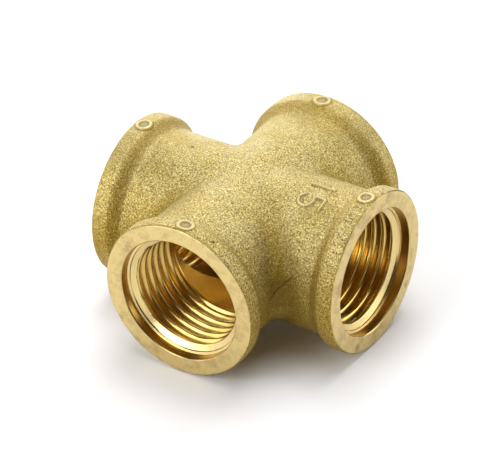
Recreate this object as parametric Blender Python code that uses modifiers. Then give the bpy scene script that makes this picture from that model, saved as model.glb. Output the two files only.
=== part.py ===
"""Brass cross fitting: four equal female arms in one plane, one cast and machined body.

The run lies along X, the branches along Y, and the crossing of the bores is the origin.
Lengths are in metres.
"""

import bpy
import bmesh
from math import cos, pi, radians, sin, sqrt, tan
from mathutils import Matrix

MM = 0.001

# Overall body
HALF_LENGTH = 23.0 * MM          # crossing of the bores to each end face
BARREL_RADIUS = 12.35 * MM       # plain arm between collar and hub
ROUND_STEPS = 40                 # facets around the turned outside

# Collar at each end, distances measured inwards from the end face
FACE_RADIUS = 13.65 * MM
COLLAR_RADIUS = 13.9 * MM
EDGE_ROUND = 0.5 * MM
COLLAR_SHOULDER = 2.6 * MM
COLLAR_END = 6.4 * MM
SHOULDER_STEPS = 4

# Cast blend in the four corners of the cross
CORNER_BLEND = 2.6 * MM
BLEND_STEPS = 4
BLEND_HEIGHT = 0.93              # part of the barrel radius over which the blend runs

# Port: chamfered mouth, lead-in cone, then a G 1/2 parallel pipe thread
MOUTH_RADIUS = 10.85 * MM
MOUTH_CHAMFER = 0.3 * MM
MOUTH_DEPTH = 1.7 * MM
LEAD_IN_RADIUS = 10.35 * MM
LEAD_IN_DEPTH = 2.75 * MM
THREAD_MAJOR = 20.955 * MM / 2
THREAD_MINOR = 18.631 * MM / 2
THREAD_PITCH = 25.4 * MM / 14
THREAD_FLANK = radians(27.5)
THREAD_FLAT = THREAD_PITCH / 6   # flat at crest and root
THREAD_START = 0.7 * MM
THREAD_TURNS = 7
BORE_STEPS = 20                  # facets around the bores and around one turn of thread
GROOVE_LIFT = 0.15 * MM          # how far the groove cutter stands inside the bore
OVERRUN = 2.0 * MM               # how far cutters run past an end face
WELD = 5e-6                      # points closer than this are one point

# Raised pin marks on top of the four collars
PIN_MARK_RADIUS = 1.25 * MM
PIN_MARK_BEAD = 0.3 * MM
PIN_MARK_SIDES = 6
PIN_MARK_STEPS = 16
PIN_MARK_INSET = 1.75 * MM
PIN_MARK_SINK = 0.04 * MM        # bead centre below the top of the collar
PIN_MARK_ASIDE = (0.0, 0.0, 0.0, 0.7 * MM)  # sideways on the +X, +Y, -X and -Y arms

# Raised nominal bore number on top of the +X arm, tops of the digits towards the end face
MARK_CENTRE = 12.7 * MM
MARK_ASIDE = 0.9 * MM
DIGIT_HEIGHT = 4.4 * MM
DIGIT_WIDTH = 2.8 * MM
DIGIT_SPACING = 4.0 * MM
DIGIT_BEAD = 0.28 * MM
DIGIT_SINK = 0.07 * MM
ARC_STEPS = 7


def clear_scene():
    for item in list(bpy.data.objects):
        bpy.data.objects.remove(item, do_unlink=True)


def new_collection(name):
    collection = bpy.data.collections.new(name)
    bpy.context.scene.collection.children.link(collection)
    return collection


def freeze(body):
    """Replace the mesh of a body by the result of its modifiers."""
    bpy.context.view_layer.update()
    graph = bpy.context.evaluated_depsgraph_get()
    mesh = bpy.data.meshes.new_from_object(body.evaluated_get(graph))
    body.modifiers.clear()
    body.data = mesh
    return body


def turned_body(name, profile, steps, collection, closed=False, turns=1, pitch=0.0):
    """Solid turned about Z from (radius, height) points running from top to bottom."""
    verts = [(radius, 0.0, height) for radius, height in profile]
    edges = [(i, i + 1) for i in range(len(verts) - 1)]
    if closed:
        edges.append((len(verts) - 1, 0))
    mesh = bpy.data.meshes.new(name)
    mesh.from_pydata(verts, edges, [])
    body = bpy.data.objects.new(name, mesh)
    collection.objects.link(body)
    screw = body.modifiers.new("turn", "SCREW")
    screw.axis = "Z"
    screw.steps = steps
    screw.render_steps = steps
    screw.iterations = turns
    screw.screw_offset = pitch
    screw.use_merge_vertices = pitch == 0.0
    screw.merge_threshold = 1e-6
    screw.use_smooth_shade = False
    return freeze(body)


def lay_along_x(body):
    """Swap axes exactly so that the turning axis Z becomes X."""
    body.data.transform(Matrix(((0, 0, 1, 0), (0, 1, 0, 0), (-1, 0, 0, 0), (0, 0, 0, 1))))
    return body


def quarter_turned(body, name, quarters, collection):
    """Copy of a body turned about Z by whole quarter turns."""
    cosine = (1, 0, -1, 0)[quarters]
    sine = (0, 1, 0, -1)[quarters]
    mesh = body.data.copy()
    mesh.transform(Matrix(((cosine, -sine, 0, 0), (sine, cosine, 0, 0), (0, 0, 1, 0), (0, 0, 0, 1))))
    copy = bpy.data.objects.new(name, mesh)
    collection.objects.link(copy)
    return copy


def hide_cutter(body):
    body.hide_render = True
    body.display_type = "WIRE"
    return body


def combine(body, other, operation):
    """Add or remove the other solid and keep the result."""
    hide_cutter(other)
    step = body.modifiers.new(other.name, "BOOLEAN")
    step.operation = operation
    step.solver = "EXACT"
    step.object = other
    return freeze(body)


def mirrored_profile(arm):
    """Full turning profile of a run from one arm given as (radius, inset from the face)."""
    upper = [(radius, HALF_LENGTH - inset) for radius, inset in arm]
    lower = [(radius, -height) for radius, height in reversed(upper)]
    return [(0.0, upper[0][1])] + upper + lower + [(0.0, lower[-1][1])]


def arm_outside():
    """Outside of one arm from the end face to the barrel."""
    points = [(FACE_RADIUS, 0.0)]
    points.append((COLLAR_RADIUS - 0.3 * (COLLAR_RADIUS - FACE_RADIUS), EDGE_ROUND * 0.35))
    points.append((COLLAR_RADIUS, EDGE_ROUND))
    drop = COLLAR_RADIUS - BARREL_RADIUS
    run = COLLAR_END - COLLAR_SHOULDER
    for step in range(SHOULDER_STEPS + 1):
        share = step / SHOULDER_STEPS
        fall = 0.5 - 0.5 * cos(pi * share)
        points.append((COLLAR_RADIUS - drop * fall, COLLAR_SHOULDER + run * share))
    return points


def port_inside():
    """Turned part of one port from outside the end face to the plain bore."""
    return [
        (MOUTH_RADIUS + OVERRUN, -(OVERRUN - MOUTH_CHAMFER)),
        (MOUTH_RADIUS, MOUTH_CHAMFER),
        (MOUTH_RADIUS, MOUTH_DEPTH),
        (LEAD_IN_RADIUS, MOUTH_DEPTH),
        (THREAD_MINOR, LEAD_IN_DEPTH),
    ]


def blend_corners(body):
    """Round the four upright inside corners where the barrels cross."""
    bm = bmesh.new()
    bm.from_mesh(body.data)
    bmesh.ops.remove_doubles(bm, verts=bm.verts, dist=2e-6)
    limit = BLEND_HEIGHT * BARREL_RADIUS

    def on_corner(vert):
        x, y, z = vert.co
        return abs(abs(x) - abs(y)) < 5e-6 and abs(z) < limit and abs(x) > 1 * MM

    edges = [edge for edge in bm.edges if all(on_corner(vert) for vert in edge.verts)]
    bmesh.ops.bevel(bm, geom=edges, offset=CORNER_BLEND, offset_type="OFFSET", segments=BLEND_STEPS,
                    profile=0.5, affect="EDGES", clamp_overlap=False)
    bm.to_mesh(body.data)
    bm.free()


def groove_section():
    """Corners of the groove as (radius, height), the groove's middle at height zero."""
    inner = THREAD_MINOR - GROOVE_LIFT
    root_half = THREAD_FLAT / 2
    inner_half = root_half + (THREAD_MAJOR - inner) * tan(THREAD_FLANK)
    return [(inner, -inner_half), (inner, inner_half), (THREAD_MAJOR, root_half), (THREAD_MAJOR, -root_half)]


def thread_groove(name, collection):
    """Helical bar that cuts the right-hand thread of the +X port, deep end first."""
    deep_end = HALF_LENGTH - THREAD_START - THREAD_TURNS * THREAD_PITCH
    section = [(radius, deep_end + height) for radius, height in groove_section()]
    groove = turned_body(name, section, BORE_STEPS, collection, closed=True,
                         turns=THREAD_TURNS, pitch=THREAD_PITCH)
    bm = bmesh.new()
    bm.from_mesh(groove.data)
    rims = [edge for edge in bm.edges if edge.is_boundary]
    bmesh.ops.holes_fill(bm, edges=rims, sides=4)
    bmesh.ops.recalc_face_normals(bm, faces=bm.faces)
    bm.to_mesh(groove.data)
    bm.free()
    return lay_along_x(groove)


def weld(body):
    """Merge coincident points left by a cut."""
    bm = bmesh.new()
    bm.from_mesh(body.data)
    bmesh.ops.remove_doubles(bm, verts=bm.verts, dist=WELD)
    bmesh.ops.dissolve_degenerate(bm, edges=bm.edges, dist=WELD)
    bm.to_mesh(body.data)
    bm.free()


def make_outside(part, tools):
    body = lay_along_x(turned_body("cross_body", mirrored_profile(arm_outside()), ROUND_STEPS, part))
    combine(body, quarter_turned(body, "branch_outside", 1, tools), "UNION")
    blend_corners(body)
    return body


def cut_ports(body, tools):
    """Bore both runs, then thread the four ports."""
    run = lay_along_x(turned_body("run_bore", mirrored_profile(port_inside()), BORE_STEPS, tools))
    combine(body, quarter_turned(run, "branch_bore", 1, tools), "DIFFERENCE")
    combine(body, run, "DIFFERENCE")
    weld(body)
    groove = hide_cutter(thread_groove("thread_groove", tools))
    for quarters in range(4):
        turned = quarter_turned(groove, "thread_groove_%d" % quarters, quarters, tools)
        combine(body, turned, "DIFFERENCE")
        weld(body)


def bead_ring(name, aside, collection):
    """Ring of round section lying flat on top of a collar of the +X arm."""
    profile = []
    for side in range(PIN_MARK_SIDES):
        angle = -2 * pi * side / PIN_MARK_SIDES
        profile.append((PIN_MARK_RADIUS + PIN_MARK_BEAD * cos(angle), PIN_MARK_BEAD * sin(angle)))
    ring = turned_body(name, profile, PIN_MARK_STEPS, collection, closed=True)
    top = COLLAR_RADIUS - PIN_MARK_SINK
    ring.data.transform(Matrix.Translation((HALF_LENGTH - PIN_MARK_INSET, aside, top)))
    return hide_cutter(ring)


def add_pin_marks(body, tools):
    for quarters, aside in enumerate(PIN_MARK_ASIDE):
        ring = bead_ring("pin_ring_%d" % quarters, aside, tools)
        combine(body, quarter_turned(ring, "pin_mark_%d" % quarters, quarters, tools), "UNION")


def digit_paths():
    """Centre lines of the two digits as (across, up) points in the reading direction."""
    half = DIGIT_HEIGHT / 2
    left = -DIGIT_WIDTH / 2
    one = [(left * 0.5, half * 0.55), (0.0, half), (0.0, -half)]
    bowl = DIGIT_HEIGHT * 0.3
    five = [(DIGIT_WIDTH * 0.45, half), (left * 0.75, half), (left * 0.85, bowl * 0.35)]
    for step in range(ARC_STEPS + 1):
        angle = radians(120 - 265 * step / ARC_STEPS)
        five.append((bowl * cos(angle) * 0.95, -half + bowl + bowl * sin(angle)))
    first, second = MARK_ASIDE - DIGIT_SPACING / 2, MARK_ASIDE + DIGIT_SPACING / 2
    return [[(across + first, up) for across, up in one], [(across + second, up) for across, up in five]]


def bead_path(name, path, collection):
    """Round bead laid over the barrel of the +X arm along a path."""
    curve = bpy.data.curves.new(name, "CURVE")
    curve.dimensions = "3D"
    curve.bevel_depth = DIGIT_BEAD
    curve.bevel_resolution = 2
    curve.use_fill_caps = True
    line = curve.splines.new("POLY")
    line.points.add(len(path) - 1)
    for point, (across, up) in zip(line.points, path):
        height = sqrt(BARREL_RADIUS ** 2 - across ** 2) - DIGIT_SINK
        point.co = (MARK_CENTRE + up, -across, height, 1.0)
    body = bpy.data.objects.new(name, curve)
    collection.objects.link(body)
    bpy.context.view_layer.update()
    graph = bpy.context.evaluated_depsgraph_get()
    solid = bpy.data.objects.new(name, bpy.data.meshes.new_from_object(body.evaluated_get(graph)))
    bpy.data.objects.remove(body, do_unlink=True)
    collection.objects.link(solid)
    return solid


def add_size_mark(body, tools):
    for index, path in enumerate(digit_paths()):
        combine(body, bead_path("digit_%d" % index, path, tools), "UNION")


def paint(body):
    material = bpy.data.materials.new("cast_brass")
    material.use_nodes = True
    shader = material.node_tree.nodes["Principled BSDF"]
    shader.inputs["Base Color"].default_value = (0.62, 0.47, 0.2, 1.0)
    shader.inputs["Metallic"].default_value = 1.0
    shader.inputs["Roughness"].default_value = 0.38
    body.data.materials.clear()
    body.data.materials.append(material)


def finish(body):
    body.data.shade_smooth()
    body.data.set_sharp_from_angle(angle=radians(30))


def build():
    clear_scene()
    part = new_collection("cross_fitting")
    tools = new_collection("cutters")
    body = make_outside(part, tools)
    add_pin_marks(body, tools)
    add_size_mark(body, tools)
    cut_ports(body, tools)
    paint(body)
    finish(body)


build()
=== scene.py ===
"""Looks of the brass cross fitting: blasted cast skin, turned end faces and threaded ports.

Each arm is modelled once in its own coordinates (distance along the arm, angle around it) and turned
into place by quarter turns. Lengths in the shape code are millimetres, and the meshes are metres.
"""

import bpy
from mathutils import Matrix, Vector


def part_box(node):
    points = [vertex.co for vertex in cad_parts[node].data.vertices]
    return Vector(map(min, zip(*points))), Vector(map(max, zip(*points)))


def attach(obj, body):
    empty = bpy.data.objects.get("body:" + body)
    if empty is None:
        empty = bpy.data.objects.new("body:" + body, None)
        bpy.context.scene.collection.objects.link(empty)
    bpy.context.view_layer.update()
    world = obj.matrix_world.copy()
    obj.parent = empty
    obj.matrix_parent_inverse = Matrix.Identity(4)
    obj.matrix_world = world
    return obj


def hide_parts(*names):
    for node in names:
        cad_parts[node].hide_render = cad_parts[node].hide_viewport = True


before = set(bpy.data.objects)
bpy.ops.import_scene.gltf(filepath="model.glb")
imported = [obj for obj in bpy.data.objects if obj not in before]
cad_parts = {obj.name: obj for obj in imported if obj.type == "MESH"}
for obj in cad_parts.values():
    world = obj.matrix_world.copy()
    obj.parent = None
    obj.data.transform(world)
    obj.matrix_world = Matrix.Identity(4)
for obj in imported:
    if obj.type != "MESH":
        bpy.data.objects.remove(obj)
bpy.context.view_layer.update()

import math

import bmesh
import bpy
import numpy as np
from mathutils import Matrix, Vector, noise

MM = 0.001
BODY = "cross_body"
low_corner, high_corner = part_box(BODY)
HALF = round(high_corner.x / MM, 3)

# ---- Sizes, millimetres -----------------------------------------------------------------------
BARREL = 12.35
COLLAR = 13.88
FACE_EDGE = 13.64
EDGE_ROUND = 0.5
SHOULDER = (2.5, 5.2)
BLEND = 2.7
LEAST_BLEND = 0.02
SKIN_END = 0.06
MOUTH = 10.88
MOUTH_CHAMFER = 0.14
MOUTH_DEPTH = 1.68
FLOOR_INNER = 10.44
STEP_RADIUS = 10.38
CONE_START = 1.98
CONE_END = 2.5
MAJOR = 10.4775
MINOR = 9.3155
PITCH = 25.4 / 14
THREAD_FORM = PITCH * 0.960491
FLANK_ANGLE = 27.5
CREST_ROUNDING = 0.55
ROOT_ROUNDING = 0.5
THREAD_FROM = 2.4
THREAD_TO = 13.2
THREAD_FADE = 1.3
THREAD_START_FADE = 0.25
CROSSING_FADE = (0.15, 1.3)
CONE_ROUNDING = 0.05

# ---- Mesh resolution --------------------------------------------------------------------------
SKIN_AROUND = 288
SKIN_HUB_ROWS = 44
SKIN_COLLAR_ROWS = 38
HUB_LIMIT = 16.0
FACE_CROWDING = 1.25
PORT_AROUND = 288
ROWS_PER_PITCH = 16
BORE_ROWS = 25
RING_STEPS = 48
BOWL_STEPS = 24
DIGIT_GRID = 0.07
# Search for the radius of the cast surface: its range in millimetres, and how often it is halved
RADIUS_SEARCH = (10.0, 26.0)
HALVINGS = 44

# ---- Details, millimetres ---------------------------------------------------------------------
# Arms in order +X, +Y, -X, -Y: the collar's shift upwards, the thread's start, the ring mark's offset
ARMS = (
    {"turn": 0, "lift": 0.0, "phase": 0.052, "mark_aside": 0.0},
    {"turn": 1, "lift": 0.03, "phase": 0.852, "mark_aside": 0.0},
    {"turn": 2, "lift": 0.06, "phase": 0.402, "mark_aside": 0.0},
    {"turn": 3, "lift": 0.0, "phase": 0.15, "mark_aside": 0.7},
)
TURNS = ((1, 0), (0, 1), (-1, 0), (0, -1))
# Each collar's shift upwards starts at this distance from the crossing
LIFT_FROM = 14.0
# Raised ring on each collar
MARK_INSET = 1.75
MARK_RADIUS = 1.1
MARK_WIDTH = 0.25
MARK_HEIGHT = 0.195
MARK_PATCH = 1.8
# Raised digits on the +X arm, the bowl of the 5 by its radius and its arc in degrees
DIGITS_ALONG = 12.7
DIGITS_ASIDE = 0.9
DIGIT_SHIFT = 2.0
DIGIT_HALF = 2.2
DIGIT_WIDTH = 2.8
DIGIT_BOWL = 1.32
BOWL_START = 120
BOWL_SWEEP = 265
DIGIT_STROKE = 0.19
DIGIT_HEIGHT = 0.32
DIGIT_PATCH = ((9.6, 15.8), (-5.3, 2.7))
# Patches of skin that carry raised strokes: height above the skin, dip at the rim, and where the rim is
PATCH_RISE = 0.015
PATCH_DIP = 0.08
PATCH_RIM = (0.42, 0.58)
PATCH_CUT = 0.6
# Colour masks of a stroke, as shares of its width: its crown, painted with a highlight, and the place and
# width of the painted shade line at its foot
CROWN = 0.8
PAINTED_FOOT_SHADE = (1.7, 0.6)
# Waves of the rough casting: height, length and seed
SWELL = ((0.05, 7.0, 3.0), (0.025, 2.2, 11.0), (0.012, 0.9, 23.0))
SWELL_LEVEL = -0.03
SEAM_RIDGE = 0.08
# Trimmed patches in the corners of the cross: depth, width, distance from the crossing and height
TRIM_DEPTH = 0.03
TRIM_WIDTH = 2.4
TRIM_FROM = (8.0, 9.5)
TRIM_HEIGHT = (2.2, 3.2)
# Mould line in those corners: level, slope, wander, half width, and how far it reaches
SEAM_LEVEL = 0.6
SEAM_SLOPE = 0.55
SEAM_WANDER = 1.6
SEAM_HALF = (0.26, 0.1)
SEAM_REACH = (3.4, 2.0)
# How much tarnish and painted shade each part of the skin gets, and where: the corners of the cross
# (tarnish and painted shade), the foot of each collar (painted shade in its crease, some tarnish), the
# sides by the upward part of their normal (painted shade), each rim (tarnish), and around the ring marks
# (painted shade at their foot)
TARNISH_AND_SHADE = {"corner": 0.8, "foot": 0.55, "side": 1.0, "rim": 0.3, "ring": 0.3}
CORNER_WIDTH = 2.6
CORNER_FROM = (7.0, 11.0)
FOOT_INSET = 3.7
FOOT_WIDTH = 0.9
SIDE_SLOPE = (-0.3, 0.75)
RIM_WIDTH = 0.5
RING_GAP = 0.5
RING_WIDTH = 0.25
# Dark middle of each ring mark, fading out between these radii
MARK_MIDDLE = (0.9, 1.15)
# Calmer grain on the far arms, growing with y - x
WORN_FROM = (2.0, 18.0)
# Burr around each end face: depth, and reach past the edge of the face
BURR = ((0.03, 0.03), (0.1, 0.06), (0.2, 0.03), (0.3, -0.25))
BURR_RAGGED = 0.05
# Small pits in the casting and dents on an end face, both painted as dark spots of shade: place and
# radius
PITS = (((6.05, -21.35, 12.5), 0.42), ((-12.1, 0.5, 12.35), 0.38), ((2.4, -10.1, 12.1), 0.26))
DENTS = (((23.0, -5.8, -11.3), 0.9), ((23.0, 9.5, -8.2), 0.6))


def smoothstep(low, high, value):
    """0 below low, 1 above high, and a smooth curve between."""
    share = np.clip((value - low) / (high - low), 0.0, 1.0)
    return share * share * (3.0 - 2.0 * share)


def turned(points, turn):
    """Points of the +X arm moved to another arm."""
    cosine, sine = TURNS[turn]
    x, y, z = points[..., 0], points[..., 1], points[..., 2]
    return np.stack([cosine * x - sine * y, sine * x + cosine * y, z], axis=-1)


def make_object(name, points, faces, merge=2e-6):
    """Smooth-shaded object from points in millimetres; points within merge metres become one."""
    mesh = bpy.data.meshes.new(name)
    mesh.from_pydata((points * MM).tolist(), [], faces.tolist())
    bm = bmesh.new()
    bm.from_mesh(mesh)
    if merge:
        bmesh.ops.remove_doubles(bm, verts=bm.verts, dist=merge)
        bmesh.ops.dissolve_degenerate(bm, edges=bm.edges, dist=merge)
        bmesh.ops.delete(bm, geom=[vert for vert in bm.verts if not vert.link_faces], context="VERTS")
    bm.to_mesh(mesh)
    bm.free()
    mesh.shade_smooth()
    piece = bpy.data.objects.new(name, mesh)
    bpy.context.scene.collection.objects.link(piece)
    return piece


def mesh_points(piece):
    """A piece's points in millimetres."""
    flat = np.empty(len(piece.data.vertices) * 3)
    piece.data.vertices.foreach_get("co", flat)
    return flat.reshape(-1, 3) / MM


def grid_faces(rows, columns, wrap=False, flip=False):
    """Quads of a grid stored row by row; flip turns their fronts over."""
    across = columns if wrap else columns - 1
    row, column = np.meshgrid(np.arange(rows - 1), np.arange(across), indexing="ij")
    after = (column + 1) % columns
    quads = np.stack([row * columns + column, row * columns + after,
                      (row + 1) * columns + after, (row + 1) * columns + column], axis=-1)
    quads = quads.reshape(-1, 4)
    return quads[:, ::-1] if flip else quads


def joined(parts):
    """One point array and face array from several."""
    points, faces, start = [], [], 0
    for part_points, part_faces in parts:
        flat = part_points.reshape(-1, 3)
        points.append(flat)
        faces.append(part_faces + start)
        start += len(flat)
    return np.concatenate(points), np.concatenate(faces)


# ---- Cast skin --------------------------------------------------------------------------------
def arm_radius(along):
    """Radius of the cast outside at a distance along the arm from the crossing."""
    inset = HALF - along
    shoulder = 1.0 - smoothstep(SHOULDER[0], SHOULDER[1], inset)
    radius = BARREL + (COLLAR - BARREL) * shoulder
    corner = np.clip((EDGE_ROUND - inset) / EDGE_ROUND, 0.0, 1.0)
    return radius - (COLLAR - FACE_EDGE) * (1.0 - np.sqrt(1.0 - corner * corner))


def body_distance(x, y, z):
    """Signed measure of the blended cross, negative inside."""
    run = np.hypot(y, z) - arm_radius(np.abs(x))
    branch = np.hypot(x, z) - arm_radius(np.abs(y))
    blend = LEAST_BLEND + BLEND * np.clip(1.0 - (z / BARREL) ** 2, 0.0, 1.0)
    gap = np.hypot(np.maximum(blend - run, 0.0), np.maximum(blend - branch, 0.0))
    return np.maximum(blend, np.minimum(run, branch)) - gap


def solve_radius(place):
    """Radius where the body's surface lies, for a function that turns radii into points."""
    low = np.full(place(1.0)[0].shape, RADIUS_SEARCH[0])
    high = np.full(low.shape, RADIUS_SEARCH[1])
    for _ in range(HALVINGS):
        middle = 0.5 * (low + high)
        outside = body_distance(*place(middle)) > 0.0
        high = np.where(outside, middle, high)
        low = np.where(outside, low, middle)
    return 0.5 * (low + high)


def wobble(points, size, seed):
    """Smooth noise between about -1 and 1 at each point."""
    offset = Vector((seed, seed * 1.7, seed * 0.6))
    return np.array([noise.noise(Vector(point) / size + offset) for point in points.tolist()])


def skin_arm():
    """Surface of the +X quarter as rows of points from the hub to the end face."""
    angle = 2 * np.pi * np.arange(SKIN_AROUND) / SKIN_AROUND
    cosine, sine = np.cos(angle), np.sin(angle)
    rim = solve_radius(lambda r: (r * np.abs(cosine), r * np.abs(cosine), r * sine))
    start = rim * np.abs(cosine)
    share = np.linspace(0.0, 1.0, SKIN_HUB_ROWS + 1)[:, None]
    hub = start[None, :] + (HUB_LIMIT - start[None, :]) * share
    near_face = 1.0 - (1.0 - np.linspace(0.0, 1.0, SKIN_COLLAR_ROWS + 1)[1:, None]) ** FACE_CROWDING
    collar = HUB_LIMIT + (HALF - SKIN_END - HUB_LIMIT) * near_face + 0.0 * start[None, :]
    along = np.concatenate([hub, collar])
    radius = solve_radius(lambda r: (along + 0.0 * r, r * cosine, r * sine))
    return np.stack([along, radius * cosine, radius * sine], axis=-1)


def surface_normals(points):
    """Unit outward normals of the smooth body at each point."""
    step = 1e-3
    x, y, z = points.T
    gradient = np.stack([
        body_distance(x + step, y, z) - body_distance(x - step, y, z),
        body_distance(x, y + step, z) - body_distance(x, y - step, z),
        body_distance(x, y, z + step) - body_distance(x, y, z - step)], axis=-1)
    return gradient / np.linalg.norm(gradient, axis=1, keepdims=True)


def lift_collars(points):
    """Shift each collar a little upwards, as the halves of the mould were off."""
    moved = points.copy()
    for arm in ARMS:
        cosine, sine = TURNS[arm["turn"]]
        along = cosine * points[:, 0] + sine * points[:, 1]
        upper = 0.5 + 0.5 * np.clip(points[:, 2] / COLLAR, -1.0, 1.0)
        moved[:, 2] += arm["lift"] * smoothstep(LIFT_FROM, HALF - 2.0, along) * upper
    return moved


def in_arm(points, turn):
    """World points seen from one arm: the reverse of turned()."""
    cosine, sine = TURNS[turn]
    x, y, z = points[..., 0], points[..., 1], points[..., 2]
    return np.stack([cosine * x + sine * y, cosine * y - sine * x, z], axis=-1)


def bell(value, width):
    """1 at zero, falling off smoothly on both sides."""
    return np.exp(-(value / width) ** 2)


def trimmed_zone(points):
    """Patches in the corners of the cross where the casting seam was trimmed off."""
    x, y, z = np.abs(points[:, 0]), np.abs(points[:, 1]), points[:, 2]
    along = np.maximum(x, y)
    level = 1.0 - smoothstep(*TRIM_HEIGHT, np.abs(z))
    return bell(x - y, TRIM_WIDTH) * smoothstep(*TRIM_FROM, along) * level


def skin_masks(points):
    """Where the casting gets tarnish and painted shade, where it is trimmed or worn, and where the
    centres of the ring marks are.
    """
    x, y = np.abs(points[:, 0]), np.abs(points[:, 1])
    along = np.maximum(x, y)
    # Corners of the cross get tarnish and painted shade, the crease at each collar's foot gets painted
    # shade with some tarnish, and the sides get painted shade that grows as the surface turns away from
    # up
    corner = bell(x - y, CORNER_WIDTH) * smoothstep(*CORNER_FROM, along)
    foot = bell(HALF - along - FOOT_INSET, FOOT_WIDTH)
    side = 1.0 - smoothstep(*SIDE_SLOPE, surface_normals(points)[:, 2])
    rim = bell(HALF - along, RIM_WIDTH)
    tarnish = TARNISH_AND_SHADE["corner"] * corner + TARNISH_AND_SHADE["foot"] * foot + TARNISH_AND_SHADE["side"] * side
    tarnish += TARNISH_AND_SHADE["rim"] * rim
    dots = np.zeros(len(points))
    for arm in ARMS:
        local = in_arm(points, arm["turn"])
        gap = np.hypot(local[:, 0] - (HALF - MARK_INSET), local[:, 1] - arm["mark_aside"])
        top = (local[:, 0] > 0) & (local[:, 2] > 0)
        dots = np.maximum(dots, top * (1.0 - smoothstep(*MARK_MIDDLE, gap)))
        # Painted shade in a band just outside each ring mark, at its foot
        tarnish += TARNISH_AND_SHADE["ring"] * bell(gap - MARK_RADIUS - RING_GAP, RING_WIDTH) * top
    worn = smoothstep(*WORN_FROM, points[:, 1] - points[:, 0])
    tarnish = np.clip(tarnish, 0.0, 1.0)
    return {"tarnish": tarnish, "trimmed": trimmed_zone(points), "dots": dots, "worn": worn}


def add_masks(piece, masks):
    """Store each mask on the points of a piece, where the materials read it."""
    for name, values in masks.items():
        layer = piece.data.attributes.new(name, "FLOAT", "POINT")
        layer.data.foreach_set("value", values.astype(np.float32))


def skin_swell(points):
    """Height of the rough casting above the smooth shape."""
    swell = SWELL_LEVEL + sum(height * wobble(points, length, seed) for height, length, seed in SWELL)
    ridge = bell(points[:, 2] + 0.3 * (np.abs(points[:, 0]) - 10.5), 0.3)
    return swell + trimmed_zone(points) * (SEAM_RIDGE * ridge - TRIM_DEPTH)


def cast_points(smooth_points, extra=0.0):
    """Smooth shape plus the rough casting's swell and any extra height along the normal."""
    flat = smooth_points.reshape(-1, 3)
    normals = surface_normals(flat)
    moved = flat + normals * (skin_swell(flat) + np.ravel(extra))[:, None]
    return lift_collars(moved).reshape(smooth_points.shape)


def make_skin():
    """Cast outside of the whole cross, up to the edges of the end faces."""
    quarter = skin_arm()
    rows, columns = quarter.shape[:2]
    faces = grid_faces(rows, columns, wrap=True)
    parts = [(turned(quarter, arm["turn"]), faces) for arm in ARMS]
    points, faces = joined(parts)
    piece = make_object("cast_skin", cast_points(points), faces)
    add_masks(piece, skin_masks(mesh_points(piece)))
    return piece


# ---- Turned and threaded ports ----------------------------------------------------------------
def soft_max(first, second, width):
    """The larger of two values, rounded over a width where they meet."""
    spread = np.clip(0.5 + 0.5 * (first - second) / width, 0.0, 1.0)
    return second + (first - second) * spread + width * spread * (1.0 - spread)


def thread_radius(inset, angle, phase):
    """Radius of the threaded wall: lead-in cone, rounded grooves and plain bore."""
    turn = (inset - THREAD_FROM) / PITCH + angle / (2 * np.pi) + phase
    ends = smoothstep(THREAD_FROM, THREAD_FROM + THREAD_START_FADE, inset)
    ends = ends * (1.0 - smoothstep(THREAD_TO - THREAD_FADE, THREAD_TO - 0.1, inset))
    corner = HALF - inset - MINOR * np.abs(np.cos(angle))
    ends = ends * smoothstep(*CROSSING_FADE, corner)
    offset = np.abs(turn - np.floor(turn) - 0.5) * PITCH
    flank = MAJOR + THREAD_FORM / 6 - offset / math.tan(math.radians(FLANK_ANGLE))
    groove = soft_max(flank, MINOR, CREST_ROUNDING)
    groove = -soft_max(-groove, -MAJOR, ROOT_ROUNDING)
    groove = MINOR + (groove - MINOR) * ends
    cone = STEP_RADIUS + (MINOR - STEP_RADIUS) * (inset - CONE_START) / (CONE_END - CONE_START)
    return soft_max(groove, cone, CONE_ROUNDING)


def mouth_rows():
    """Turned mouth as (inset, radius) from the end face to the start of the thread."""
    rows = [(0.0, MOUTH + MOUTH_CHAMFER), (0.02, MOUTH + MOUTH_CHAMFER - 0.02)]
    rows += [(MOUTH_CHAMFER - 0.02, MOUTH + 0.02), (MOUTH_CHAMFER + 0.02, MOUTH)]
    rows += [(inset, MOUTH) for inset in np.linspace(0.3, MOUTH_DEPTH - 0.06, 7)]
    rows += [(MOUTH_DEPTH - 0.02, MOUTH - 0.005), (MOUTH_DEPTH, MOUTH - 0.03)]
    rows += [(MOUTH_DEPTH + 0.01, FLOOR_INNER + 0.03), (MOUTH_DEPTH + 0.03, FLOOR_INNER)]
    rows += [(CONE_START - 0.03, FLOOR_INNER - 0.02), (CONE_START, STEP_RADIUS)]
    slope = (MINOR - STEP_RADIUS) / (CONE_END - CONE_START)
    for inset in np.linspace(CONE_START + 0.04, THREAD_FROM, 6):
        rows.append((inset, STEP_RADIUS + slope * (inset - CONE_START)))
    return rows


def on_arm(inset, radius, angle):
    """Points of the +X arm at a distance in from its end face, a radius and an angle."""
    inset, radius, angle = np.broadcast_arrays(inset, radius, angle)
    return np.stack([HALF - inset, radius * np.cos(angle), radius * np.sin(angle)], axis=-1)


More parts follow.
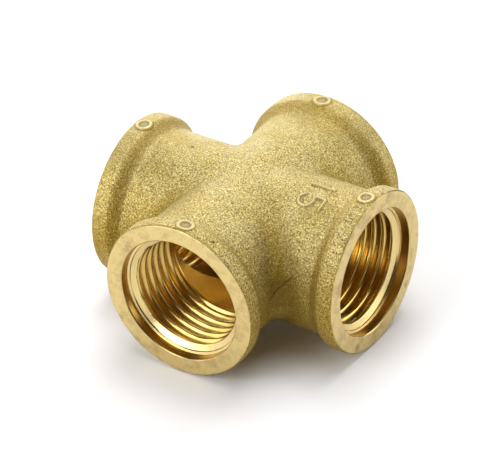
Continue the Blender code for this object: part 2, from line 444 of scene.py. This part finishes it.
def port_parts(arm):
    """Mouth, threaded wall and plain bore of one port, as point grids with their faces."""
    angle = 2 * np.pi * np.arange(PORT_AROUND) / PORT_AROUND
    rows = np.array(mouth_rows())
    mouth = on_arm(rows[:, :1], rows[:, 1:], angle[None, :])
    parts = [(mouth, grid_faces(len(rows), PORT_AROUND, wrap=True))]

    ring = 2 * np.pi * np.arange(PORT_AROUND + 1) / PORT_AROUND
    count = int(math.ceil((THREAD_TO - THREAD_FROM) / PITCH + 1) * ROWS_PER_PITCH) + 1
    row = np.arange(count)[:, None]
    inset = THREAD_FROM + PITCH * (row / ROWS_PER_PITCH - ring[None, :] / (2 * np.pi))
    inset = np.clip(inset, THREAD_FROM, THREAD_TO)
    wall = on_arm(inset, thread_radius(inset, ring[None, :], arm["phase"]), ring[None, :])
    faces = grid_faces(count, PORT_AROUND + 1)
    depths = inset.reshape(-1)[faces]
    parts.append((wall, faces[np.ptp(depths, axis=1) > 1e-9]))

    deep_end = HALF - MINOR * np.abs(np.cos(angle))
    share = np.linspace(0.0, 1.0, BORE_ROWS)[:, None]
    inset = THREAD_TO + (deep_end[None, :] - THREAD_TO) * share
    parts.append((on_arm(inset, MINOR, angle[None, :]), grid_faces(BORE_ROWS, PORT_AROUND, wrap=True)))
    return [(turned(points, arm["turn"]), faces) for points, faces in parts]


def make_ports(name, arms):
    """The ports of some arms as one piece, with masks for the mouth's wall, which gets painted shade, and
    its pale turned rings.
    """
    points, faces = joined([part for arm in arms for part in port_parts(arm)])
    piece = make_object(name, points, faces, merge=1e-6)
    inset = HALF - np.abs(mesh_points(piece)[:, :2]).max(axis=1)
    step = bell(inset - CONE_START + 0.1, 0.07)
    lead_in = smoothstep(MOUTH_DEPTH - 0.03, MOUTH_DEPTH, inset) - step
    lead_in = np.clip(lead_in - smoothstep(CONE_END - 0.15, CONE_END, inset), 0.0, 1.0)
    chamfer = 1.0 - smoothstep(MOUTH_CHAMFER - 0.05, MOUTH_CHAMFER, inset)
    # Mask of the mouth's wall, where painted shade goes
    wall = (1.0 - chamfer) * (1.0 - smoothstep(MOUTH_DEPTH - 0.05, MOUTH_DEPTH - 0.01, inset))
    add_masks(piece, {"lead_in": np.maximum(lead_in, chamfer), "wall": wall})
    return piece


def make_end_faces():
    """Turned end faces with the thin burr that the tool leaves at the cast edge."""
    inner = MOUTH + MOUTH_CHAMFER
    rows = [(0.0, radius) for radius in np.linspace(inner, FACE_EDGE - 0.05, 9)]
    rows += [(depth, FACE_EDGE + reach) for depth, reach in BURR]
    rows = np.array(rows)
    angle = 2 * np.pi * np.arange(SKIN_AROUND) / SKIN_AROUND
    faces = grid_faces(len(rows), SKIN_AROUND, wrap=True, flip=True)
    parts = []
    for index, arm in enumerate(ARMS):
        circle = np.stack([9.0 * np.cos(angle), 9.0 * np.sin(angle), 40.0 * index + 0.0 * angle], axis=-1)
        ragged = BURR_RAGGED * wobble(circle, 2.0, 5.0)
        edge = (rows[:, 1:] > FACE_EDGE - 0.1) * ragged[None, :]
        grid = on_arm(rows[:, :1] + 0.0 * angle, rows[:, 1:] + edge, angle[None, :])
        parts.append((turned(grid, arm["turn"]), faces))
    points, faces = joined(parts)
    return make_object("end_faces", lift_collars(points), faces)


# ---- Raised marks -----------------------------------------------------------------------------
def stroke_gap(x, y, strokes):
    """Distance from each place to the nearest stroke."""
    gap = np.full(x.shape, 9.0)
    for path in strokes:
        for start, end in zip(path[:-1], path[1:]):
            run, rise = end - start
            share = ((x - start[0]) * run + (y - start[1]) * rise) / (run * run + rise * rise)
            share = np.clip(share, 0.0, 1.0)
            gap = np.minimum(gap, np.hypot(x - start[0] - share * run, y - start[1] - share * rise))
    return gap


def raised_patch(arm, along, across, strokes, width, height, centre=None):
    """Points, faces and masks of a patch of skin with raised strokes; its rim dips under the skin."""
    x, y = np.meshgrid(along, across, indexing="ij")
    gap = stroke_gap(x, y, strokes)
    outer = gap if centre is None else np.hypot(x - centre[0], y - centre[1]) - MARK_RADIUS
    slope = y / BARREL
    cosine, sine = slope, np.sqrt(1.0 - slope * slope)
    radius = solve_radius(lambda r: (x + 0.0 * r, r * cosine, r * sine))
    smooth = turned(np.stack([x, radius * cosine, radius * sine], axis=-1), arm["turn"])
    lift = height * bell(gap, width) + PATCH_RISE - PATCH_DIP * smoothstep(*PATCH_RIM, outer)
    faces = grid_faces(len(along), len(across), flip=True)
    faces = faces[outer.reshape(-1)[faces].min(axis=1) < PATCH_CUT]
    masks = skin_masks(smooth.reshape(-1, 3))
    # The crown of each stroke gets a painted highlight and a smoother grain, and a line at its foot gets
    # painted shade
    masks["bead"] = bell(gap, CROWN * width).reshape(-1)
    masks["outline"] = bell(gap - PAINTED_FOOT_SHADE[0] * width, PAINTED_FOOT_SHADE[1] * width).reshape(-1)
    return cast_points(smooth, lift), faces, masks


def make_patches(name, patches):
    """One piece from raised patches, without the points that no face uses."""
    points, faces = joined([patch[:2] for patch in patches])
    used = np.unique(faces)
    place = np.zeros(len(points), int)
    place[used] = np.arange(len(used))
    piece = make_object(name, points[used], place[faces], merge=0.0)
    for key in patches[0][2]:
        add_masks(piece, {key: np.concatenate([patch[2][key] for patch in patches])[used]})
    return piece


def make_pin_marks():
    """Raised ring on the top of each collar."""
    patches = []
    turn = 2 * np.pi * np.arange(RING_STEPS + 1) / RING_STEPS
    ring = MARK_RADIUS * np.stack([np.cos(turn), np.sin(turn)], axis=-1)
    span = np.linspace(-MARK_PATCH, MARK_PATCH, 61)
    for arm in ARMS:
        centre = (HALF - MARK_INSET, arm["mark_aside"])
        along = centre[0] + span[centre[0] + span < HALF - 0.25]
        across = centre[1] + span
        strokes = [ring + np.array(centre)]
        patches.append(raised_patch(arm, along, across, strokes, MARK_WIDTH, MARK_HEIGHT, centre))
    return make_patches("pin_marks", patches)


def rounded_path(corners, step=0.25):
    """Evenly spaced points along a polyline with its corners softened."""
    corners = np.asarray(corners, float)
    length = np.concatenate([[0], np.cumsum(np.linalg.norm(np.diff(corners, axis=0), axis=1))])
    spots = np.linspace(0, length[-1], int(length[-1] / step) + 1)
    path = np.stack([np.interp(spots, length, corners[:, axis]) for axis in (0, 1)], axis=-1)
    path[1:-1] = 0.25 * path[:-2] + 0.5 * path[1:-1] + 0.25 * path[2:]
    return path


def make_size_mark():
    """Raised digits 1 and 5, read from the +X end."""
    half, width, bowl = DIGIT_HALF, DIGIT_WIDTH, DIGIT_BOWL
    one = [(-0.7, half * 0.55), (0.0, half), (0.0, -half)]
    five = [(width * 0.45, half), (-width * 0.375, half), (-width * 0.425, bowl * 0.35)]
    for step in range(BOWL_STEPS + 1):
        turn = math.radians(BOWL_START - BOWL_SWEEP * step / BOWL_STEPS)
        five.append((0.95 * bowl * math.cos(turn), -half + bowl + bowl * math.sin(turn)))
    strokes = []
    for corners, shift in ((one, -DIGIT_SHIFT), (five, DIGIT_SHIFT)):
        path = rounded_path(corners)
        aside = -(path[:, 0] + shift + DIGITS_ASIDE)
        strokes.append(np.stack([DIGITS_ALONG + path[:, 1], aside], axis=-1))
    along, across = (np.arange(low, high, DIGIT_GRID) for low, high in DIGIT_PATCH)
    patch = raised_patch(ARMS[0], along, across, strokes, DIGIT_STROKE, DIGIT_HEIGHT)
    return make_patches("size_mark", [patch])


# ---- Materials --------------------------------------------------------------------------------
class Nodes:
    """Short helper for building one node material."""

    def __init__(self, name):
        self.material = bpy.data.materials.new(name)
        self.material.use_nodes = True
        self.tree = self.material.node_tree
        self.shader = self.tree.nodes["Principled BSDF"]
        self.place = self.add("ShaderNodeTexCoord").outputs["Object"]

    def add(self, kind, **settings):
        node = self.tree.nodes.new(kind)
        for key, value in settings.items():
            setattr(node, key, value)
        return node

    def link(self, source, socket):
        self.tree.links.new(source, socket)

    def feed(self, socket, value):
        if hasattr(value, "links"):
            self.link(value, socket)
        else:
            socket.default_value = value

    def noise(self, millimetres, detail=2.0, rough=0.5):
        """Soft random pattern with features of about a size."""
        node = self.add("ShaderNodeTexNoise")
        self.link(self.place, node.inputs["Vector"])
        node.inputs["Scale"].default_value = 1.0 / (millimetres * MM)
        node.inputs["Detail"].default_value = detail
        node.inputs["Roughness"].default_value = rough
        return node.outputs["Fac"]

    def rings(self, millimetres):
        """Fine lines at equal distance from the crossing, as turning marks."""
        reach = self.add("ShaderNodeVectorMath", operation="LENGTH")
        self.link(self.place, reach.inputs[0])
        sway = self.math("MULTIPLY", self.noise(9.0, 1.0), 0.4 * MM)
        node = self.add("ShaderNodeTexNoise", noise_dimensions="1D")
        self.link(self.math("ADD", reach.outputs["Value"], sway), node.inputs["W"])
        node.inputs["Scale"].default_value = 1.0 / (millimetres * MM)
        node.inputs["Detail"].default_value = 2.0
        return node.outputs["Fac"]

    def near(self, spot, radius):
        """1 close to a spot given in millimetres, fading to 0 at a radius from it."""
        gap = self.add("ShaderNodeVectorMath", operation="DISTANCE")
        self.link(self.place, gap.inputs[0])
        gap.inputs[1].default_value = [value * MM for value in spot]
        return self.remap(gap.outputs["Value"], radius * MM, 0.5 * radius * MM)

    def seam(self):
        """Crooked line in the corners of the cross, where the halves of the mould met."""
        split = self.add("ShaderNodeSeparateXYZ")
        self.link(self.place, split.inputs[0])
        across = self.math("SUBTRACT", self.math("ABSOLUTE", split.outputs["X"]),
                           self.math("ABSOLUTE", split.outputs["Y"]))
        sway = self.math("MULTIPLY", self.noise(1.6, 3.0), SEAM_WANDER * MM)
        height = self.math("SUBTRACT", self.math("SUBTRACT", split.outputs["Z"], sway),
                           self.math("MULTIPLY", across, SEAM_SLOPE))
        gap = self.math("ABSOLUTE", self.math("SUBTRACT", height, SEAM_LEVEL * MM))
        line = self.remap(gap, SEAM_HALF[0] * MM, SEAM_HALF[1] * MM)
        ends = self.remap(self.math("ABSOLUTE", across), SEAM_REACH[0] * MM, SEAM_REACH[1] * MM)
        return self.math("MULTIPLY", line, ends)

    def attribute(self, name):
        """A mask that is stored on the mesh."""
        node = self.add("ShaderNodeAttribute", attribute_name=name)
        return node.outputs["Fac"]

    def remap(self, value, low, high, out_low=0.0, out_high=1.0):
        """Value scaled from one range to another, and held within it."""
        node = self.add("ShaderNodeMapRange")
        self.feed(node.inputs["Value"], value)
        limits = {"From Min": low, "From Max": high, "To Min": out_low, "To Max": out_high}
        for key, number in limits.items():
            node.inputs[key].default_value = number
        return node.outputs["Result"]

    def math(self, operation, first, second=0.0):
        node = self.add("ShaderNodeMath", operation=operation)
        self.feed(node.inputs[0], first)
        self.feed(node.inputs[1], second)
        return node.outputs[0]

    def mix(self, share, first, second):
        node = self.add("ShaderNodeMix", data_type="RGBA")
        self.feed(node.inputs["Factor"], share)
        for socket, value in zip(("A", "B"), (first, second)):
            target = [item for item in node.inputs if item.name == socket and item.type == "RGBA"][0]
            self.feed(target, value if hasattr(value, "links") else (*value, 1.0))
        return [item for item in node.outputs if item.type == "RGBA"][0]

    def bump(self, height, depth, normal=None):
        """Fine relief of a depth in millimetres, on top of any earlier one."""
        node = self.add("ShaderNodeBump")
        node.inputs["Strength"].default_value = 1.0
        node.inputs["Distance"].default_value = depth * MM
        self.link(height, node.inputs["Height"])
        if normal is not None:
            self.link(normal, node.inputs["Normal"])
        return node.outputs["Normal"]

    def finish(self, colour, roughness, normal, metallic=1.0):
        self.link(colour, self.shader.inputs["Base Color"])
        self.feed(self.shader.inputs["Roughness"], roughness)
        self.link(normal, self.shader.inputs["Normal"])
        self.shader.inputs["Metallic"].default_value = metallic
        return self.material


def cast_brass():
    """Sand-blasted casting: matte grain with sparkling specks, darker with tarnish and painted shade in
    the corners, creases and sides, with painted highlights and painted shade on raised marks.
    """
    n = Nodes("cast_brass_blasted")
    grain = n.noise(0.30, 3.0, 0.65)
    coarse = n.noise(1.2, 2.0)
    patches = n.noise(6.0, 3.0)
    speck = n.noise(0.24, 4.0, 0.75)
    # Mask of tarnish and painted shade from the skin, varied by the patches
    tarnish = n.math("MULTIPLY", n.attribute("tarnish"), n.remap(patches, 0.3, 0.6, 0.7, 1.0))
    # Crowns of raised strokes: smoother grain and a painted highlight
    bead = n.attribute("bead")
    smooth = n.math("MULTIPLY", bead, 0.7)
    for mask, share in (("trimmed", 0.35), ("worn", 0.42)):
        smooth = n.math("MAXIMUM", smooth, n.math("MULTIPLY", n.attribute(mask), share))
    gritty = n.math("SUBTRACT", 1.0, smooth)
    base = n.mix(n.remap(patches, 0.35, 0.65), (0.465, 0.36, 0.11), (0.54, 0.455, 0.205))
    base = n.mix(n.remap(coarse, 0.4, 0.75, 0.0, 0.4), base, (0.36, 0.28, 0.085))
    # Tarnish and painted shade: corners, collar feet, sides and the bands around the ring marks darken
    base = n.mix(n.math("MULTIPLY", tarnish, 0.9), base, (0.31, 0.20, 0.022))
    for low, high, colour in ((0.515, 0.585, (0.14, 0.095, 0.03)), (0.475, 0.39, (0.90, 0.76, 0.34))):
        base = n.mix(n.math("MULTIPLY", n.remap(speck, low, high, 0.0, 0.95), gritty), base, colour)
    # A second, more saturated layer of the same tarnish and painted shade
    base = n.mix(n.math("MULTIPLY", tarnish, 0.45), base, (0.40, 0.255, 0.01))
    base = n.mix(n.math("MULTIPLY", n.attribute("trimmed"), 0.6), base, (0.18, 0.12, 0.03))
    base = n.mix(n.math("MULTIPLY", n.attribute("dots"), 0.65), base, (0.36, 0.30, 0.16))
    # Painted shade at the foot of each raised stroke, and a painted highlight on its crown
    base = n.mix(n.math("MULTIPLY", n.attribute("outline"), 0.65), base, (0.20, 0.14, 0.045))
    base = n.mix(n.math("MULTIPLY", bead, 0.7), base, (0.80, 0.69, 0.36))
    base = n.mix(n.math("MULTIPLY", n.seam(), 0.7), base, (0.13, 0.06, 0.015))
    # Painted shade: dark spots for the pits
    for spot, radius in PITS:
        base = n.mix(n.math("MULTIPLY", n.near(spot, radius), 0.8), base, (0.06, 0.04, 0.02))
    rough = n.remap(grain, 0.3, 0.7, 0.38, 0.66)
    normal = n.bump(coarse, 0.05)
    sharp = n.math("MULTIPLY", gritty, n.remap(tarnish, 0.0, 1.0, 1.0, 1.8))
    normal = n.bump(n.math("MULTIPLY", grain, sharp), 0.19, normal=normal)
    return n.finish(base, rough, normal)


def machined_brass():
    """Turned face: pale, with fine turning lines and faint grey-brown smudges."""
    n = Nodes("machined_brass_face")
    smudge = n.noise(2.6, 5.0, 0.7)
    fine = n.noise(0.45, 2.0)
    lines = n.rings(0.05)
    base = n.mix(n.remap(smudge, 0.46, 0.66, 0.0, 0.8), (0.67, 0.52, 0.22), (0.42, 0.315, 0.14))
    base = n.mix(n.remap(fine, 0.6, 0.8, 0.0, 0.35), base, (0.42, 0.30, 0.13))
    base = n.mix(n.remap(lines, 0.5, 0.8, 0.0, 0.25), base, (0.45, 0.34, 0.15))
    # Painted shade: darker spots for the dents
    for spot, radius in DENTS:
        base = n.mix(n.math("MULTIPLY", n.near(spot, radius), 0.6), base, (0.25, 0.18, 0.09))
    rough = n.remap(smudge, 0.4, 0.7, 0.36, 0.5)
    normal = n.bump(lines, 0.004)
    normal = n.bump(fine, 0.006, normal=normal)
    return n.finish(base, rough, normal)


def bore_brass():
    """Cut threads and bores: gold, the mouth's wall browner with painted shade, the lead-in paler from
    its tool marks.
    """
    n = Nodes("cut_brass_bore")
    stain = n.noise(2.5, 3.0)
    lead_in = n.attribute("lead_in")
    wall = n.attribute("wall")
    base = n.mix(n.remap(stain, 0.45, 0.7, 0.0, 0.6), (0.69, 0.485, 0.145), (0.54, 0.35, 0.075))
    base = n.mix(n.math("MULTIPLY", lead_in, 0.85), base, (0.76, 0.60, 0.28))
    # Painted shade: the mouth's wall is darker brown
    base = n.mix(n.math("MULTIPLY", wall, 0.85), base, (0.46, 0.285, 0.065))
    rough = n.math("ADD", n.remap(lead_in, 0.0, 1.0, 0.24, 0.25), n.math("MULTIPLY", wall, 0.03))
    normal = n.bump(n.math("MULTIPLY", n.rings(0.06), lead_in), 0.003)
    return n.finish(base, rough, normal)


def floor_material():
    """Pale matt paper."""
    n = Nodes("pale_floor")
    base = n.mix(n.remap(n.noise(30.0), 0.3, 0.7), (0.935, 0.94, 0.96), (0.955, 0.96, 0.98))
    return n.finish(base, 0.7, n.bump(n.noise(2.0), 0.002), metallic=0.0)


# ---- Scene ------------------------------------------------------------------------------------
def dress(piece, material):
    """Give a piece its material and its place in the frame."""
    piece.data.materials.clear()
    piece.data.materials.append(material)
    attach(piece, "root")
    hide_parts(BODY)


def make_floor():
    """Plain floor at the level that the fitting rests on."""
    size = 1.2
    mesh = bpy.data.meshes.new("floor")
    corners = ((-size, -size), (size, -size), (size, size), (-size, size))
    mesh.from_pydata([(x, y, low_corner.z) for x, y in corners], [], [(0, 1, 2, 3)])
    floor = bpy.data.objects.new("floor", mesh)
    bpy.context.scene.collection.objects.link(floor)
    mesh.materials.append(floor_material())


def make_camera():
    """Long lens from the front, right and above, aimed at the crossing of the bores."""
    azimuth, elevation, roll = 0.57922, 0.59077, -0.024646
    distance, aside, above = 27.7427, -0.03569, 0.04749
    sensor, lens = 36.0, 280.6632
    unit = HALF * MM
    back = Vector((math.sin(azimuth) * math.cos(elevation), -math.cos(azimuth) * math.cos(elevation),
                   math.sin(elevation)))
    level = Vector((math.cos(azimuth), math.sin(azimuth), 0.0))
    upward = back.cross(level)
    right = level * math.cos(roll) + upward * math.sin(roll)
    up = upward * math.cos(roll) - level * math.sin(roll)
    place = (right * aside + up * above + back * distance) * unit
    data = bpy.data.cameras.new("camera")
    data.sensor_width = sensor
    data.lens = lens
    data.clip_start = 0.05
    camera = bpy.data.objects.new("camera", data)
    bpy.context.scene.collection.objects.link(camera)
    axes = Matrix((right, up, back)).transposed().to_4x4()
    camera.matrix_world = Matrix.Translation(place) @ axes
    bpy.context.scene.camera = camera


# Softboxes: azimuth and elevation in degrees, distance and size in metres, watts
LIGHTS = (
    ("key", -103, 12, 0.80, (0.34, 0.22), 2.0),
    ("key_high", -112, 36, 0.75, (0.40, 0.36), 1.9),
    ("top", 0, 90, 0.50, (0.35, 0.35), 0.90),
    ("back_high", 102, 62, 0.60, (0.45, 0.40), 1.75),
    ("right_low", 40, 17, 0.90, (1.00, 0.50), 4.1),
    ("back_low", 120, 14, 0.90, (0.90, 0.44), 3.5),
    ("behind_low", 165, 15, 0.90, (0.80, 0.46), 2.7),
    ("left_low", 222, 16, 0.90, (0.70, 0.46), 2.4),
)


def area_light(name, azimuth, elevation, distance, size, power):
    """Softbox that faces the crossing of the bores."""
    turn, rise = math.radians(azimuth), math.radians(elevation)
    towards = Vector((math.cos(turn) * math.cos(rise), math.sin(turn) * math.cos(rise), math.sin(rise)))
    data = bpy.data.lights.new(name, "AREA")
    data.shape = "RECTANGLE"
    data.size, data.size_y = size
    data.energy = power
    light = bpy.data.objects.new(name, data)
    bpy.context.scene.collection.objects.link(light)
    light.location = towards * distance
    light.rotation_euler = (-towards).to_track_quat("-Z", "Y").to_euler()


def make_lights():
    """Faint warm surroundings and the softboxes."""
    world = bpy.data.worlds.new("studio")
    world.use_nodes = True
    sky = world.node_tree.nodes["Background"]
    sky.inputs["Color"].default_value = (1.0, 0.78, 0.55, 1.0)
    sky.inputs["Strength"].default_value = 0.05
    bpy.context.scene.world = world
    for light in LIGHTS:
        area_light(*light)


cast_skin = make_skin()
end_faces = make_end_faces()
run_ports = make_ports("run_ports", (ARMS[0], ARMS[2]))
branch_ports = make_ports("branch_ports", (ARMS[1], ARMS[3]))
pin_marks = make_pin_marks()
size_mark = make_size_mark()
cast, machined, bore = cast_brass(), machined_brass(), bore_brass()
for piece in (cast_skin, pin_marks, size_mark):
    dress(piece, cast)
dress(end_faces, machined)
for piece in (run_ports, branch_ports):
    dress(piece, bore)
make_floor()
make_lights()
make_camera()
bpy.context.scene.view_settings.view_transform = "Standard"
